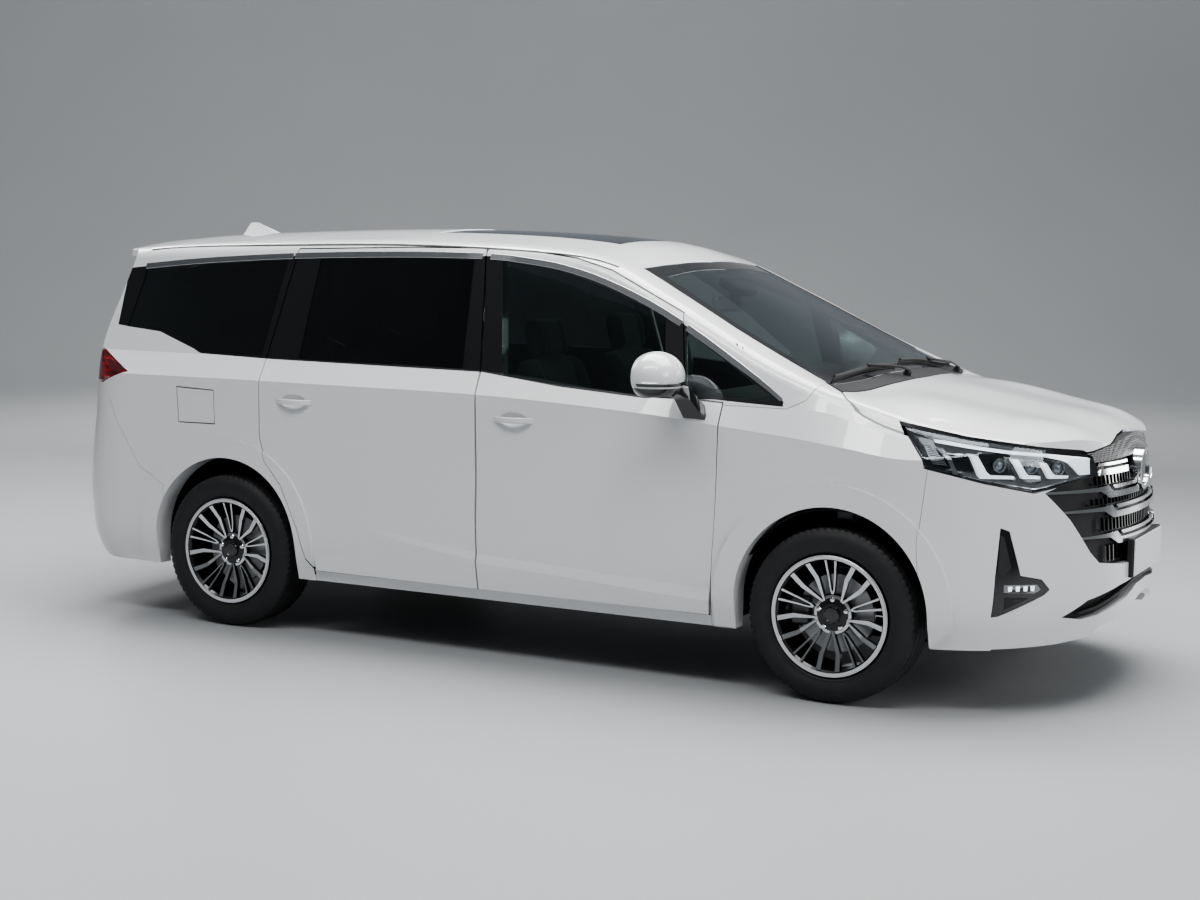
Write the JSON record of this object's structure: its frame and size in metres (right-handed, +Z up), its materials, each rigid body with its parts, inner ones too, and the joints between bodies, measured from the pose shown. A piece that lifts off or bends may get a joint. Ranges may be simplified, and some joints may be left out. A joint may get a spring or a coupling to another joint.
{
  "type": "minivan",
  "caption": "White family minivan with hinged doors, lifting tailgate, bonnet, steered front wheels, glass roof panel and furnished cabin.",
  "frame": {"origin": "on the ground under the middle of the vehicle's box", "axes": "+X to the front, +Y to the vehicle's left, +Z up"},
  "size_m": [4.7845, 2.312, 1.765],
  "materials": {
    "paint": "pearl gloss",
    "black_gloss": "gloss",
    "black_plastic": "satin grain",
    "glass": "clear tinted",
    "dark_glass": "privacy tint",
    "chrome": "bright",
    "alloy": "machined face, dark pockets",
    "tyre": "matt",
    "lamp_clear": "clear lens over dark housing",
    "lamp_red": "red lens",
    "chassis": "satin black",
    "casting": "as cast",
    "steel": "dull",
    "trim_fabric": "woven",
    "soft_black": "moulded grain"
  },
  "bodies": {
    "body": {"body_shell": "paint", "front_wings": "paint", "front_bumper": "paint", "rear_bumper": "paint", "roof_fin": "paint", "cowl": "black_plastic", "grille": "black_gloss", "grille_bars": "chrome", "fog_lamps": "black_gloss", "headlamps": "lamp_clear", "tail_lamps": "lamp_red", "front_fixed_glass": "glass", "rear_fixed_glass": "dark_glass", "floor_pan": "chassis", "front_subframe": "chassis", "rear_axle": "chassis", "engine_block": "casting", "exhaust": "steel", "dashboard": "soft_black", "front_seats": "trim_fabric", "rear_seats": "trim_fabric"},
    "bonnet_panel": {"bonnet": "paint"},
    "tailgate_panel": {"tailgate": "paint", "tailgate_glass": "dark_glass"},
    "fuel_door": {"fuel_flap": "paint"},
    "steering_column": {"steering_wheel": "soft_black"},
    "front_door_left_panel": {"front_door_left": "paint", "front_door_glass_left": "glass", "door_mirror_left": "paint"},
    "rear_door_left_panel": {"rear_door_left": "paint", "rear_door_glass_left": "dark_glass"},
    "knuckle_left": {"front_knuckle_left": "casting"},
    "front_wheel_left": {"front_rim_left": "alloy", "front_tyre_left": "tyre"},
    "rear_wheel_left": {"rear_rim_left": "alloy", "rear_tyre_left": "tyre"},
    "front_door_right_panel": {"front_door_right": "paint", "front_door_glass_right": "glass", "door_mirror_right": "paint"},
    "rear_door_right_panel": {"rear_door_right": "paint", "rear_door_glass_right": "dark_glass"},
    "knuckle_right": {"front_knuckle_right": "casting"},
    "front_wheel_right": {"front_rim_right": "alloy", "front_tyre_right": "tyre"},
    "rear_wheel_right": {"rear_rim_right": "alloy", "rear_tyre_right": "tyre"}
  },
  "joints": [
    {"name": "bonnet_hinge", "type": "hinge", "parent": "body", "child": "bonnet_panel", "pos_m": [1.404, 0, 1.186], "axis": [0, -1, 0], "range_deg": [0, 50]},
    {"name": "tailgate_hinge", "type": "hinge", "parent": "body", "child": "tailgate_panel", "pos_m": [-1.998, 0, 1.702], "axis": [0, 1, 0], "range_deg": [0, 80]},
    {"name": "fuel_flap_hinge", "type": "hinge", "parent": "body", "child": "fuel_door", "pos_m": [-1.4345, -0.9075, 0.965], "axis": [0, 0, 1], "range_deg": [0, 90]},
    {"name": "steering_wheel_turn", "type": "hinge", "parent": "body", "child": "steering_column", "pos_m": [0.69, 0.37, 1.01], "axis": [-0.9135, 0, 0.4067], "range_deg": [-540, 540]},
    {"name": "steer_left", "type": "hinge", "parent": "body", "child": "knuckle_left", "pos_m": [1.43, 0.72, 0.334], "axis": [0, 0, 1], "range_deg": [-36, 36]},
    {"name": "steer_right", "type": "hinge", "parent": "body", "child": "knuckle_right", "pos_m": [1.43, -0.72, 0.334], "axis": [0, 0, 1], "range_deg": [-36, 36]},
    {"name": "front_door_left_hinge", "type": "hinge", "parent": "body", "child": "front_door_left_panel", "pos_m": [0.9665, 0.913, 0.7], "axis": [0, 0, -1], "range_deg": [0, 68]},
    {"name": "front_wheel_left_spin", "type": "hinge", "parent": "knuckle_left", "child": "front_wheel_left", "pos_m": [1.43, 0.792, 0.334], "axis": [0, 1, 0], "continuous": true},
    {"name": "rear_door_left_hinge", "type": "hinge", "parent": "body", "child": "rear_door_left_panel", "pos_m": [-0.0935, 0.913, 0.7], "axis": [0, 0, -1], "range_deg": [0, 68]},
    {"name": "rear_wheel_left_spin", "type": "hinge", "parent": "body", "child": "rear_wheel_left", "pos_m": [-1.38, 0.792, 0.334], "axis": [0, 1, 0], "continuous": true},
    {"name": "front_door_right_hinge", "type": "hinge", "parent": "body", "child": "front_door_right_panel", "pos_m": [0.9665, -0.913, 0.7], "axis": [0, 0, 1], "range_deg": [0, 68]},
    {"name": "front_wheel_right_spin", "type": "hinge", "parent": "knuckle_right", "child": "front_wheel_right", "pos_m": [1.43, -0.792, 0.334], "axis": [0, 1, 0], "continuous": true},
    {"name": "rear_door_right_hinge", "type": "hinge", "parent": "body", "child": "rear_door_right_panel", "pos_m": [-0.0935, -0.913, 0.7], "axis": [0, 0, 1], "range_deg": [0, 68]},
    {"name": "rear_wheel_right_spin", "type": "hinge", "parent": "body", "child": "rear_wheel_right", "pos_m": [-1.38, -0.792, 0.334], "axis": [0, 1, 0], "continuous": true}
  ],
  "couplings": [
    {"joint": "steer_right", "follows": "steer_left", "ratio": 1},
    {"joint": "steering_wheel_turn", "follows": "steer_left", "ratio": 15}
  ]
}
